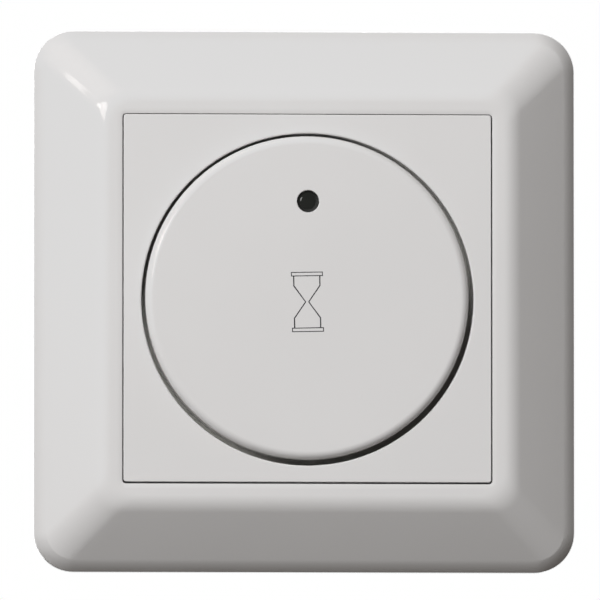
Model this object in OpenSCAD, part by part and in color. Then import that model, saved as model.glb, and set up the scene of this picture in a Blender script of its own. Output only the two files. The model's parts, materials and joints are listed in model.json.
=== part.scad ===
// A timer light switch for a round wall box. A square cover frame, a flush centre plate and a large
// round push button sit in front of an insert with board, relay, rising-cage terminals and claws.
// It is drawn lying on its back: x to the right, y up the wall, z out of the wall, the wall at z = 0.

/* [Cover frame] */
// Outer side of the square frame
frame_w = 81; // [79:0.5:86]
// Height of the frame's rim above the wall
frame_h = 10; // [9.4:0.1:12]
// Corner radius of the outline
frame_corner_r = 6.2; // [4:0.1:9]
// Corner radius where the rim rolls into the bevel
crest_corner_r = 2.8; // [1.5:0.1:4]
// Thickness of the moulded skin
frame_wall = 2; // [1.5:0.1:2.5]
// Height of the upright edge on the wall
edge_wall_h = 1; // [0.5:0.1:2]
// Rounding from the upright edge to the bevel
edge_r = 3.6; // [2.8:0.1:4.5]
// Rounding from the bevel to the rim
crest_r = 4.9; // [3:0.1:6]
// Width of the rim round the opening
rim_w = 1.8; // [1.4:0.1:2.6]
// Rounding of the opening's edge
lip_r = 0.5; // [0.2:0.05:0.8]

/* [Centre plate] */
// Side of the square plate
plate_w = 55; // [54.5:0.25:57]
// Gap between plate and frame
plate_gap = 0.22; // [0.15:0.01:0.4]
// Corner radius of the plate
plate_corner_r = 0.7; // [0.4:0.1:2]
// Rounding of the plate's front edges
plate_edge_r = 0.25; // [0.1:0.05:0.5]
// Thickness of the plate's face
plate_t = 1.8; // [1.4:0.1:2.2]
// How far the plate's face lies below the rim
plate_drop = 0.25; // [0:0.05:0.6]
// Depth of the plate with its skirt
plate_depth = 4.4; // [4:0.1:4.8]

/* [Push button] */
// Button diameter
button_d = 48.6; // [46:0.2:49]
// Gap round the button
button_gap = 0.65; // [0.4:0.05:0.9]
// How far the button stands proud of the plate
button_rise = 1.6; // [1:0.1:2.2]
// Thickness of the button's face
button_t = 1.8; // [1.4:0.1:2.2]
// Rounding of the button's edge
button_edge_r = 1.15; // [0.5:0.05:1.4]
// Thickness of the button's skirt
button_skirt_t = 1.4; // [1:0.1:1.8]
// How far the button goes in
button_travel = 1.2; // [0.6:0.1:1.4]
// Diameter of the indicator lens
lens_d = 3.2; // [2.6:0.1:3.6]
// Height of the lens above the button's centre
lens_up = 14.6; // [13.5:0.1:15]
// Thickness of the carrier disc behind the button
carrier_t = 1.4; // [1:0.1:1.6]
// Middle diameter of a return spring
spring_d = 4; // [3.6:0.1:4.2]
// Spring wire
spring_wire = 0.5; // [0.35:0.05:0.6]

/* [Mounting yoke] */
// How far the steel yoke stays inside the frame's outline
yoke_inset = 5; // [4.5:0.25:6]
// Sheet thickness
yoke_t = 1.2; // [1:0.1:1.4]
// Distance of a wall-box screw from the yoke's edge
box_screw_edge = 5.5; // [5:0.25:6]
// Width of a wall-box screw slot
box_slot_w = 4.2; // [3.6:0.1:4.6]
// Length of a wall-box screw slot
box_slot_l = 7; // [5.5:0.1:7.4]

/* [Housing] */
// Side of the housing behind the yoke
housing_w = 43; // [42.4:0.2:44.4]
// Corner radius of the housing
housing_corner_r = 10; // [8:0.25:10.25]
// Depth of the housing behind the wall's face
housing_depth = 26; // [25.4:0.2:32]
// Wall thickness
housing_wall = 1.6; // [1.3:0.1:1.8]
// Lid thickness
lid_t = 1.4; // [1.1:0.1:1.8]

/* [Board] */
// Thickness of the circuit board
board_t = 1.6; // [1:0.1:1.8]
// Space between lid and board
board_gap = 3.8; // [3.7:0.1:4.2]
// Side of the push switch
switch_w = 7; // [6:0.2:7.6]
// Diameter of the switch plunger
plunger_d = 3.2; // [2.4:0.1:4]
// Diameter of the indicator lamp
led_d = 3; // [2.6:0.1:3.2]
// Diameter of the time-setting rotor
rotor_d = 5; // [4:0.1:5.6]

/* [Terminals] */
// Width of one terminal module
terminal_w = 7.1; // [6.9:0.05:7.3]
// Diameter of a wire entry
wire_bore_d = 3.4; // [2.4:0.1:3.4]
// Diameter of a terminal screw
terminal_screw_d = 3; // [2.4:0.1:3.4]
// How far a clamp cage rises
clamp_travel = 2.4; // [1.6:0.1:2.4]

/* [Claws] */
// Diameter of a claw screw
claw_screw_d = 3; // [2.4:0.1:3.2]
// Length of a claw behind the wall's face
claw_len = 15; // [12:0.5:17]
// Distance of a claw from the level centre line
claw_offset = 7.5; // [7:0.1:9]

/* [Hidden] */
$fn = 48;
eps = 0.5;

// Levels above the wall
plate_front = frame_h - plate_drop;
plate_under = plate_front - plate_t;
ledge_top = plate_front - plate_depth;
ledge_t = 1.4;
carrier_top = ledge_top - 0.4;
carrier_under = carrier_top - carrier_t;
button_front = plate_front + button_rise;
button_under = button_front - button_t;
skirt_end = carrier_top + button_travel + 0.2;
plunger_top = yoke_t + 1.4;
led_top = yoke_t + 0.2;
board_front = -lid_t - board_gap;
board_back = board_front - board_t;
housing_back = -housing_depth;

// Radii and half widths of the front set
frame_half = frame_w / 2;
opening_half = plate_w / 2 + plate_gap;
ledge_half = opening_half - 1.1;
lip_corner_r = plate_corner_r + plate_gap;
plate_skirt_t = 1.2;
button_r = button_d / 2;
hole_r = button_r + button_gap;
rebate_r = hole_r + 0.5;
collar_r = hole_r + 1.3;
nub_h = 0.6;
collar_end = carrier_under - 0.15;
carrier_r = rebate_r - 0.05;
lens_r = lens_d / 2;
fit = 0.05;
running = 0.05;

// Guide legs, springs and boss of the button
leg_r = 17.5;
leg_t = 1.4;
leg_w = 4;
leg_barb = 0.9;
leg_play = 0.3;
spring_r = button_r - button_skirt_t - 2.9;
spring_turns = 3.5;
spring_peg_r = spring_d / 2 - spring_wire / 2 - 0.3;
spring_peg_h = 1.5;
boss_r = 3;
boss_play = 1.5;
rib_t = 1.2;

// Housing, lid and yoke
housing_half = housing_w / 2;
inner_half = housing_half - housing_wall;
inner_corner_r = housing_corner_r - housing_wall;
pocket_half = inner_half + 0.6;
pocket_corner_r = inner_corner_r + 0.6;
lid_half = pocket_half - 0.1;
lid_corner_r = pocket_corner_r - 0.1;
board_half = inner_half - 0.3;
board_corner_r = inner_corner_r - 0.3;
yoke_w = frame_w - 2 * yoke_inset;
box_screw_spacing = yoke_w - 2 * box_screw_edge;
yoke_hold = 5.5;
yoke_opening = housing_w - 2 * yoke_hold;
yoke_opening_r = 5;
yoke_corner_r = 4;
housing_diag = (housing_half - housing_corner_r) * sqrt(2) + housing_corner_r;
hook_t = 1.4;
hook_w = 5;
hook_barb = 0.8;
hook_r = max(housing_diag + 2.3, collar_r + 1.9);
hook_end = -1.6;
yoke_screw_x = 6;
yoke_screw_y = inner_half - 1.3;
yoke_screw_r = 1.1;
yoke_screw_len = 9;
boss_outer_r = 2.3;
boss_end = board_back - 2;
support_y = 6;
support_w = 3;
support_reach = 1.3;

// Board parts; an inset is measured from the housing's inner walls.
switch_h = 3.2;
plunger_r = plunger_d / 2;
plunger_in = 1.2;
led_r = led_d / 2;
led_len = 5.2;
led_lead_x = 1.27;
lead_r = 0.3;
lead_hole_r = lead_r + 0.1;
lead_out = 0.8;
trimmer_inset = [8.7, 10.5];
trimmer_at = [inner_half - trimmer_inset[0], trimmer_inset[1] - inner_half];
trimmer_w = rotor_d + 1.8;
trimmer_h = 2.4;
rotor_r = rotor_d / 2;
rotor_in = 1.6;
rotor_out = 0.7;
relay_size = [14.6, 19, 15.3];
relay_inset = 2.2;
relay_up = 4;
relay_at = [relay_size[0] / 2 + relay_inset - inner_half, relay_up];
relay_low = relay_up - relay_size[1] / 2;
relay_pins = [[0, -8], [-5.5, -6], [5.5, -6], [-5.5, 7], [5.5, 7]];
dropper_size = [13, 5.6, 11];
dropper_inset = [10.5, 7.1];
dropper_at = [inner_half - dropper_inset[0], inner_half - dropper_inset[1]];
dropper_leads = [[-5, 0], [5, 0]];
smoother_r = 4;
smoother_h = 12;
smoother_inset = 13.7;
smoother_at = [inner_half - smoother_inset, 3];
smoother_leads = [[-1.75, 0], [1.75, 0]];
varistor_r = 3.75;
varistor_t = 3.6;
varistor_inset = 5.5;
varistor_at = [inner_half - varistor_inset, 3];
varistor_leads = [[0, -2.5], [0, 2.5]];
fuse_r = 1.6;
fuse_l = 9;
fuse_below = 3.9;
fuse_at = [-1, relay_low - fuse_below];
fuse_leads = [[-6.4, 0], [6.4, 0]];
resistor_r = 1.15;
resistor_l = 6.2;
resistor_inset = [7.5, 4.3];
resistor_below = [6.7, 5.5];
resistor_at = [for (i = [0, 1]) [resistor_inset[i] - inner_half, relay_low - resistor_below[i]]];
resistor_leads = [[0, -4.3], [0, 4.3]];
lying_gap = 0.4;
chip_size = [8.7, 3.9, 1.5];
chip_inset = 9.4;
chip_at = [chip_inset - inner_half, 5];
diode_size = [4.3, 2.6, 2.1];
diode_inset = [13.4, 8.4];
diode_x = [for (inset = diode_inset) inner_half - inset];
diode_y = [6.6, 10];

// Terminals, from the underside of the housing upward
terminal_gap = 0.2;
terminal_pitch = terminal_w + terminal_gap;
terminal_y = -housing_half;
module_depth = 9;
module_front = housing_back + module_depth;
module_rear_wall = 1.4;
module_front_wall = 1.2;
module_floor = 2.2;
head_in = 0.5;
head_h = 1.6;
screw_r = terminal_screw_d / 2;
screw_head_r = screw_r + 0.8;
cage_wall = 1.6;
cage_side = 0.75;
cage_lid = 1;
cage_play = 0.2;
cage_low = terminal_y + module_floor + 0.1 + clamp_travel;
bar_t = 1;
bar_w = 3.2;
bar_low = cage_low + cage_wall + 0.3;
bar_high = bar_low + bar_t;
wire_y = bar_high + wire_bore_d / 2;
cage_high = bar_high + wire_bore_d + cage_lid;
module_high = cage_high + cage_play + 1.2;
cage_window_w = wire_bore_d + 0.4;
cage_w = cage_window_w + 2 * cage_side;
cage_rear = housing_back + module_rear_wall + cage_play;
cage_front = module_front - module_front_wall - cage_play;
clamp_z = (cage_rear + cage_front) / 2;
bay_half = 1.5 * terminal_w + terminal_gap + 0.1;
bay_high = module_high + 0.1;
bay_wall = 1.1;

// Claws
claw_x = housing_half + 3.1;
claw_r = claw_screw_d / 2;
pivot_z = -1.7;
claw_eye_r = 1.5;
claw_pin_r = 0.8;
claw_gap = 0.5;
claw_sheet = 1;
claw_in = claw_r + claw_gap;
claw_out = claw_in + claw_sheet;
ear_in = claw_out + 0.2;
ear_t = 1.2;
ear_out = ear_in + ear_t;
ear_r = 1.7;
claw_foot_t = 1.5;
claw_foot_x = 2.6;
tooth = 0.9;
claw_head_r = 2.5;
claw_head_h = 0.9;
claw_head_gap = 0.5;
claw_screw_end = -claw_len - 2;
claw_swing = 10;
claw_hole_r = claw_r + (yoke_t - pivot_z) * tan(claw_swing) + 0.35;

// Colours
off_white = [0.86, 0.85, 0.83];
moulding_grey = [0.8, 0.8, 0.77];
steel = [0.74, 0.75, 0.76];
brass = [0.8, 0.66, 0.36];
board_green = [0.12, 0.36, 0.2];

// Stands the object upright: up is z, the face looks along minus y.
module on_wall() {
  rotate([90, 0, 0]) children();
}

module rounded_square(w, r) {
  square([w, w - 2 * r], center = true);
  square([w - 2 * r, w], center = true);
  for (sx = [-1, 1], sy = [-1, 1])
    translate([sx * (w / 2 - r), sy * (w / 2 - r)]) circle(r);
}

module rounded_block(w, r, low, high) {
  translate([0, 0, low]) linear_extrude(high - low) rounded_square(w, r);
}

module rod(r, low, high) {
  translate([0, 0, low]) cylinder(r = r, h = high - low);
}

module box(low, high) {
  translate(low) cube(high - low);
}

// A slot of given end-to-end length along x
module slot_shape(length, width) {
  square([length - width, width], center = true);
  for (s = [-1, 1])
    translate([s * (length - width) / 2, 0]) circle(width / 2);
}

module at_corners(r) {
  for (a = [45 : 90 : 315])
    rotate(a) translate([r, 0, 0]) children();
}

module at_quarters(r) {
  for (a = [0 : 90 : 270])
    rotate(a) translate([r, 0, 0]) children();
}

// Frame section: half width and height of each point, from the wall over the rim to the hollow back.
edge_c = [frame_half - edge_r, edge_wall_h];
crest_c = [opening_half + rim_w, frame_h - crest_r];
lip_c = [opening_half + lip_r, frame_h - lip_r];
span = edge_c - crest_c;
slope_normal = atan2(span[1], span[0]) + acos((crest_r - edge_r) / norm(span));
arc_steps = 5;

function arc(c, r, from, to, steps) =
  [for (k = [0 : steps]) let (a = from + (to - from) * k / steps) c + r * [cos(a), sin(a)]];

frame_section = concat(
  [[frame_half, 0]],
  arc(edge_c, edge_r, 0, slope_normal, arc_steps),
  arc(crest_c, crest_r, slope_normal, 90, arc_steps),
  arc(lip_c, lip_r, 90, 180, 3),
  [[opening_half, ledge_top], [ledge_half, ledge_top], [ledge_half, ledge_top - ledge_t]],
  [[crest_c[0], ledge_top - ledge_t]],
  arc(crest_c, crest_r - frame_wall, 90, slope_normal, arc_steps),
  arc(edge_c, edge_r - frame_wall, slope_normal, 0, arc_steps),
  [[frame_half - frame_wall, 0]]
);

function ring_corner(h) = lookup(h, [
  [opening_half, lip_corner_r],
  [crest_c[0] + crest_r / 4, crest_corner_r],
  [frame_half, frame_corner_r]
]);

corner_steps = 8;
ring_points = 4 * (corner_steps + 1);

function corner_sign_x(q) = (q == 0 || q == 3) ? 1 : -1;
function corner_sign_y(q) = (q < 2) ? 1 : -1;
function ring(h, z, r) =
  [for (q = [0 : 3]) for (k = [0 : corner_steps])
    let (a = 90 * (q + k / corner_steps))
    [corner_sign_x(q) * (h - r) + r * cos(a), corner_sign_y(q) * (h - r) + r * sin(a), z]];

function loop_faces(rings, around) =
  [for (i = [0 : rings - 1]) for (j = [0 : around - 1]) for (half = [0, 1])
    let (n = (i + 1) % rings, m = (j + 1) % around)
    half == 0 ? [i * around + j, n * around + m, i * around + m]
              : [i * around + j, n * around + j, n * around + m]];

// Locating rib under the bevel: it stops just outside the yoke's edge.
rib_in = yoke_w / 2 + 0.25;
rib_skin = frame_wall / 2;
rib_start = crest_c + (crest_r - rib_skin) * [cos(slope_normal), sin(slope_normal)];
rib_top = rib_start[1] - (rib_in - rib_start[0]) / tan(slope_normal);
rib_section = concat(
  [[rib_in, 0.3], [frame_half - rib_skin, 0.3]],
  arc(edge_c, edge_r - rib_skin, 0, slope_normal, arc_steps),
  [[rib_in, rib_top]]
);
rib_place = 18;

module cover_frame() {
  color(off_white) {
    polyhedron(
      points = [for (p = frame_section) each ring(p[0], p[1], ring_corner(p[0]))],
      faces = loop_faces(len(frame_section), ring_points),
      convexity = 8
    );
    for (q = [0 : 3], s = [-1, 1])
      rotate(90 * q) translate([0, s * rib_place, 0])
        rotate([90, 0, 0]) linear_extrude(1.4, center = true) polygon(rib_section);
  }
}

// What rounds one front edge of the plate, along y; its arc meets both faces at a slight angle.
module edge_cutter(w, high, r) {
  c = [w / 2 - 0.92 * r, high - 0.92 * r];
  rotate([90, 0, 0]) linear_extrude(w + 2, center = true)
    difference() {
      translate(c) square(r + 1);
      translate(c) circle(r);
    }
}

module plate_hook() {
  box([hook_r - hook_t / 2, -hook_w / 2, hook_end], [hook_r + hook_t / 2, hook_w / 2, plate_under + eps]);
  rotate([90, 0, 0]) linear_extrude(hook_w, center = true)
    polygon([
      [hook_r, 0], [hook_r + hook_t / 2 + hook_barb, 0],
      [hook_r + hook_t / 2 + 0.1, hook_end], [hook_r, hook_end]
    ]);
}

// Snap nub that holds the carrier disc in the collar
module carrier_nub() {
  box([rebate_r - 0.4, -1.5, carrier_under - nub_h], [rebate_r + 0.4, 1.5, carrier_under]);
}

module centre_plate() {
  color(off_white) {
    difference() {
      union() {
        difference() {
          rounded_block(plate_w, plate_corner_r, ledge_top, plate_front);
          for (a = [0 : 90 : 270])
            rotate(a) edge_cutter(plate_w, plate_front, plate_edge_r);
          rounded_block(plate_w - 2 * plate_skirt_t, plate_corner_r, ledge_top - 1, plate_under);
        }
        rod(collar_r, collar_end, plate_under + eps);
        at_corners(0) plate_hook();
      }
      rod(hole_r, collar_end - 1, plate_front + 1);
      rod(rebate_r, collar_end - 1, carrier_top);
    }
    at_corners(0) carrier_nub();
  }
}

module button_leg() {
  box([leg_r - leg_t / 2, -leg_w / 2, carrier_under - 1.2], [leg_r + leg_t / 2, leg_w / 2, button_under + eps]);
  rotate([90, 0, 0]) linear_extrude(leg_w, center = true)
    polygon([
      [leg_r, carrier_under], [leg_r + leg_t / 2 + leg_barb, carrier_under],
      [leg_r + leg_t / 2 + 0.1, carrier_under - 1.2], [leg_r, carrier_under - 1.2]
    ]);
}

module button_cap_section() {
  difference() {
    union() {
      translate([0, skirt_end]) square([button_r, button_front - button_edge_r - skirt_end]);
      translate([0, skirt_end]) square([button_r - button_edge_r, button_front - skirt_end]);
      translate([button_r - button_edge_r, button_front - button_edge_r]) circle(button_edge_r);
    }
    translate([-1, skirt_end - 1])
      square([button_r - button_skirt_t + 1, button_under - skirt_end + 1]);
  }
}

module push_button() {
  color(off_white)
    difference() {
      union() {
        rotate_extrude() intersection() {
          button_cap_section();
          square([button_r + 1, button_front + 1]);
        }
        rod(boss_r, plunger_top, button_under + eps);
        at_corners(0) button_leg();
        at_quarters(spring_r) rod(spring_peg_r, button_under - 1, button_under + eps);
        for (a = [22.5 : 45 : 359])
          rotate(a) box([boss_r - 1, -rib_t / 2, button_under - 2], [button_r - button_skirt_t + 0.5, rib_t / 2, button_under + eps]);
      }
      translate([0, lens_up, 0]) rod(lens_r + fit, button_under - 3, button_front + 1);
    }
}

lens_recess = 0.25;
lens_flange_r = lens_r + 0.9;
lens_flange_t = 0.8;
pipe_r = lens_r - 0.1;
pipe_end = led_top + button_travel + 0.4;
dome_r = lens_r * 2.2;

module indicator_lens() {
  color([0.06, 0.06, 0.06])
    translate([0, lens_up, 0]) {
      intersection() {
        rod(lens_r, button_under - lens_flange_t / 2, button_front - lens_recess);
        translate([0, 0, button_front - lens_recess - dome_r]) sphere(dome_r);
      }
      rod(lens_flange_r, button_under - lens_flange_t, button_under);
      rod(pipe_r, pipe_end, button_under - lens_flange_t / 2);
    }
}

module button_carrier() {
  color(moulding_grey) {
    difference() {
      rod(carrier_r, carrier_under, carrier_top);
      rod(boss_r + boss_play, carrier_under - 1, carrier_top + 1);
      translate([0, lens_up, 0]) rod(pipe_r + 0.7, carrier_under - 1, carrier_top + 1);
      at_corners(0)
        box([leg_r - leg_t / 2 - leg_barb - 0.1, -leg_w / 2 - leg_play, carrier_under - 1], [leg_r + leg_t / 2 + leg_play, leg_w / 2 + leg_play, carrier_top + 1]);
    }
    at_quarters(spring_r) rod(spring_peg_r, carrier_top - eps, carrier_top + spring_peg_h);
  }
}

// Return spring: one unbroken tube, wound upward from the carrier
coil_rings = 8;
wire_sides = 6;
coil_low = carrier_top + spring_wire / 2 + 0.02;
coil_high = button_under - spring_wire / 2 - 0.02;
coil_count = round(spring_turns * coil_rings) + 1;

function coil_mid(i) =
  let (a = 360 * i / coil_rings)
  [spring_d / 2 * cos(a), spring_d / 2 * sin(a), coil_low + (coil_high - coil_low) * i / (coil_count - 1)];
function wire_point(i, k) =
  let (a = 360 * i / coil_rings, b = 360 * k / wire_sides)
  coil_mid(i) + spring_wire / 2 * [cos(b) * cos(a), cos(b) * sin(a), sin(b)];

coil_points = [for (i = [0 : coil_count - 1]) for (k = [0 : wire_sides - 1]) wire_point(i, k)];
coil_faces = concat(
  [[for (k = [wire_sides - 1 : -1 : 0]) k]],
  [for (i = [0 : coil_count - 2]) for (k = [0 : wire_sides - 1]) for (half = [0, 1])
    let (n = (k + 1) % wire_sides, here = i * wire_sides, next = here + wire_sides)
    half == 0 ? [here + k, here + n, next + n] : [here + k, next + n, next + k]],
  [[for (k = [0 : wire_sides - 1]) (coil_count - 1) * wire_sides + k]]
);

// The least distance between two turns' middle lines, less the wire
spring_least_gap = min([
  for (i = [0 : coil_count - 1]) for (j = [i + 5 : coil_count - 1]) norm(coil_mid(j) - coil_mid(i))
]) - spring_wire;
echo(spring_least_gap = spring_least_gap);

module return_springs() {
  color(steel)
    at_quarters(spring_r)
      polyhedron(points = coil_points, faces = coil_faces, convexity = 10);
}

module yoke_ears() {
  for (s = [-1, 1])
    translate([claw_x, -claw_offset + s * (ear_in + ear_t / 2), 0])
      difference() {
        union() {
          box([-ear_r, -ear_t / 2, pivot_z], [ear_r, ear_t / 2, eps]);
          translate([0, 0, pivot_z]) rotate([90, 0, 0]) cylinder(r = ear_r, h = ear_t, center = true);
        }
        translate([0, 0, pivot_z]) rotate([90, 0, 0])
          cylinder(r = claw_pin_r + running, h = ear_t + 2, center = true);
      }
}

module mounting_yoke() {
  color(steel) {
    linear_extrude(yoke_t)
      difference() {
        rounded_square(yoke_w, yoke_corner_r);
        rounded_square(yoke_opening, yoke_opening_r);
        for (a = [0 : 90 : 270])
          rotate(a) translate([box_screw_spacing / 2, 0]) slot_shape(box_slot_l, box_slot_w);
        for (a = [45 : 90 : 315])
          rotate(a) translate([hook_r - hook_t / 2 - hook_barb - 0.1, -hook_w / 2 - 0.2])
            square([hook_t + hook_barb + 0.2, hook_w + 0.4]);
        for (s = [-1, 1]) {
          translate([s * claw_x, -s * claw_offset]) circle(claw_hole_r);
          translate([s * yoke_screw_x, s * yoke_screw_y]) circle(yoke_screw_r + 0.2);
        }
        translate([0, lens_up]) circle(led_r + 0.7);
      }
    for (a = [0, 180])
      rotate(a) yoke_ears();
  }
}

module yoke_screws() {
  color(steel)
    for (s = [-1, 1])
      translate([s * yoke_screw_x, s * yoke_screw_y, 0])
        difference() {
          union() {
            rod(yoke_screw_r, yoke_t - yoke_screw_len, yoke_t + eps);
            rod(yoke_screw_r + 1, yoke_t, yoke_t + 1.3);
          }
          box([-3, -0.35, yoke_t + 0.6], [3, 0.35, yoke_t + 2]);
          box([-0.35, -3, yoke_t + 0.6], [0.35, 3, yoke_t + 2]);
        }
}

claw_guide_in = ear_out + 0.4;

module claw_guides() {
  for (s = [-1, 1])
    translate([housing_half, -claw_offset + s * (claw_guide_in + 0.6), 0])
      box([-housing_wall / 2, -0.6, -claw_len + 1], [1.6, 0.6, -4]);
}

module rear_housing() {
  color(moulding_grey)
    difference() {
      union() {
        difference() {
          rounded_block(housing_w, housing_corner_r, housing_back, 0);
          rounded_block(2 * inner_half, inner_corner_r, housing_back + housing_wall, 1);
          rounded_block(2 * pocket_half, pocket_corner_r, -lid_t, 1);
        }
        for (s = [-1, 1])
          translate([s * yoke_screw_x, s * yoke_screw_y, 0])
            intersection() {
              rod(boss_outer_r, boss_end, -lid_t);
              box([-3, -inner_half, boss_end], [3, inner_half, -lid_t]);
            }
        for (sx = [-1, 1], sy = [-1, 1])
          translate([sx * inner_half, sy * support_y, 0]) {
            x = [-support_reach, housing_wall / 2];
            box(
              [sx > 0 ? x[0] : -x[1], -support_w / 2, housing_back + housing_wall / 2],
              [sx > 0 ? x[1] : -x[0], support_w / 2, board_back]
            );
          }
        intersection() {
          box([-bay_half - bay_wall, -housing_half, housing_back], [bay_half + bay_wall, bay_high + bay_wall, module_front + 0.6]);
          rounded_block(housing_w, housing_corner_r, housing_back, 0);
        }
        for (a = [0, 180])
          rotate(a) claw_guides();
      }
      box([-bay_half, -housing_half - 1, housing_back - 1], [bay_half, bay_high, module_front + 0.1]);
      box([-bay_half, -inner_half, module_front], [bay_half, bay_high, module_front + 2]);
      for (s = [-1, 1])
        translate([s * yoke_screw_x, s * yoke_screw_y, 0])
          rod(yoke_screw_r + fit, yoke_t - yoke_screw_len - 0.3, 1);
    }
}

module housing_lid() {
  color(moulding_grey)
    difference() {
      union() {
        rounded_block(2 * lid_half, lid_corner_r, -lid_t, 0);
        for (sx = [-1, 1], sy = [-1, 1])
          translate([sx * (board_half - 2.2), sy * support_y, 0]) rod(1.2, board_front, -lid_t / 2);
      }
      rod(plunger_r + 0.4, -lid_t - 1, 1);
      translate([0, lens_up, 0]) rod(led_r + 0.3, -lid_t - 1, 1);
      translate(trimmer_at) rod(rotor_r + 0.4, -lid_t - 1, 1);
      for (s = [-1, 1])
        translate([s * yoke_screw_x, s * yoke_screw_y, 0]) rod(yoke_screw_r + 0.2, -lid_t - 1, 1);
    }
}

module leads(at, spots, r, from) {
  for (p = spots)
    translate([at[0] + p[0], at[1] + p[1], 0]) rod(r, from, board_front + lead_out);
}

module holes_for(at, spots, r) {
  for (p = spots)
    translate(at + p) circle(r);
}

module control_board() {
  color(board_green)
    translate([0, 0, board_back]) linear_extrude(board_t)
      difference() {
        rounded_square(2 * board_half, board_corner_r);
        for (s = [-1, 1])
          translate([s * yoke_screw_x, s * yoke_screw_y]) circle(boss_outer_r + 0.3);
        holes_for([0, lens_up], [[-led_lead_x, 0], [led_lead_x, 0]], lead_hole_r);
        holes_for(relay_at, relay_pins, lead_hole_r + 0.15);
        holes_for(dropper_at, dropper_leads, lead_hole_r);
        holes_for(smoother_at, smoother_leads, lead_hole_r);
        holes_for(varistor_at, varistor_leads, lead_hole_r);
        holes_for(fuse_at, fuse_leads, lead_hole_r);
        for (at = resistor_at)
          holes_for(at, resistor_leads, lead_hole_r);
        for (i = [-1 : 1])
          translate([i * terminal_pitch - bar_w / 2 - 0.1, bar_low - 0.1])
            square([bar_w + 0.2, bar_t + 0.2]);
      }
}

module switch_body() {
  color([0.12, 0.12, 0.13])
    difference() {
      box([-switch_w / 2, -switch_w / 2, board_front], [switch_w / 2, switch_w / 2, board_front + switch_h]);
      rod(plunger_r + running, board_front + switch_h - plunger_in - button_travel - 0.1, board_front + switch_h + 1);
    }
}

module switch_plunger() {
  color([0.9, 0.9, 0.88])
    rod(plunger_r, board_front + switch_h - plunger_in, plunger_top);
}

module indicator_led() {
  color([0.85, 0.3, 0.22])
    translate([0, lens_up, 0]) {
      rod(led_r, led_top - led_len, led_top - led_r);
      translate([0, 0, led_top - led_r]) sphere(led_r);
      rod(led_r + 0.35, led_top - led_len, led_top - led_len + 1);
      for (s = [-1, 1])
        translate([s * led_lead_x, 0, 0]) rod(lead_r, board_back - lead_out, led_top - led_len + eps);
    }
}

module trimmer_body() {
  color([0.1, 0.22, 0.5])
    translate(trimmer_at)
      difference() {
        box([-trimmer_w / 2, -trimmer_w / 2, board_front], [trimmer_w / 2, trimmer_w / 2, board_front + trimmer_h]);
        rod(rotor_r + running, board_front + trimmer_h - rotor_in, board_front + trimmer_h + 1);
      }
}

module trimmer_rotor() {
  color([0.92, 0.9, 0.84])
    translate(trimmer_at)
      difference() {
        rod(rotor_r, board_front + trimmer_h - rotor_in, board_front + trimmer_h + rotor_out);
        box([-rotor_d, -0.4, board_front + trimmer_h - 0.2], [rotor_r * 0.6, 0.4, board_front + trimmer_h + 2]);
      }
}

module controller_chip() {
  color([0.1, 0.1, 0.1])
    translate([chip_at[0], chip_at[1], board_front]) {
      translate([-chip_size[0] / 2, -chip_size[1] / 2, 0]) cube(chip_size);
      for (i = [-3 : 3], s = [-1, 1])
        translate([i * 1.27, s * (chip_size[1] / 2 + 0.4), 0.35]) cube([0.42, 1.2, 0.7], center = true);
    }
}

module relay() {
  color([0.13, 0.27, 0.5]) {
    translate([relay_at[0] - relay_size[0] / 2, relay_at[1] - relay_size[1] / 2, board_back - relay_size[2]])
      cube(relay_size);
    leads(relay_at, relay_pins, lead_r + 0.15, board_back - eps);
  }
}

module dropper_capacitor() {
  color([0.78, 0.62, 0.2]) {
    translate([dropper_at[0] - dropper_size[0] / 2, dropper_at[1] - dropper_size[1] / 2, board_back - dropper_size[2]])
      cube(dropper_size);
    leads(dropper_at, dropper_leads, lead_r, board_back - eps);
  }
}

module smoothing_capacitor() {
  color([0.12, 0.14, 0.2]) {
    translate([smoother_at[0], smoother_at[1], board_back])
      difference() {
        rod(smoother_r, -smoother_h, 0);
        for (a = [0, 90])
          rotate(a) box([-3, -0.15, -smoother_h - 1], [3, 0.15, -smoother_h + 0.3]);
      }
    leads(smoother_at, smoother_leads, lead_r, board_back - eps);
  }
}

module varistor() {
  color([0.1, 0.3, 0.55]) {
    translate([varistor_at[0], varistor_at[1], board_back - varistor_r - 0.4])
      rotate([0, 90, 0]) cylinder(r = varistor_r, h = varistor_t, center = true);
    leads(varistor_at, varistor_leads, lead_r, board_back - 3);
  }
}

// A part that lies under the board on two bent wires, along x
module lying_part(r, length, reach) {
  depth = board_back - lying_gap - r;
  translate([0, 0, depth]) rotate([0, 90, 0]) {
    cylinder(r = r, h = length, center = true);
    cylinder(r = lead_r, h = 2 * reach, center = true);
  }
  for (s = [-1, 1])
    translate([s * reach, 0, 0]) {
      rod(lead_r, depth, board_front + lead_out);
      translate([0, 0, depth]) sphere(lead_r);
    }
}

module fuse() {
  color([0.8, 0.78, 0.7])
    translate(fuse_at) {
      lying_part(fuse_r, fuse_l, fuse_leads[1][0]);
      for (s = [-1, 1])
        translate([s * (fuse_l / 2 - 0.9), 0, board_back - lying_gap - fuse_r])
          rotate([0, 90, 0]) cylinder(r = fuse_r + 0.2, h = 1.8, center = true);
    }
}

module resistors() {
  color([0.55, 0.42, 0.3])
    for (at = resistor_at)
      translate(at) rotate(90) lying_part(resistor_r, resistor_l, resistor_leads[1][1]);
}

module rectifier_diodes() {
  color([0.14, 0.14, 0.14])
    for (x = diode_x, y = diode_y)
      translate([x - diode_size[0] / 2, y - diode_size[1] / 2, board_front]) cube(diode_size);
}

module contact_bars() {
  color(brass)
    for (i = [-1 : 1])
      translate([i * terminal_pitch, 0, 0])
        box([-bar_w / 2, bar_low, cage_rear], [bar_w / 2, bar_high, board_front + lead_out]);
}

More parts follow.
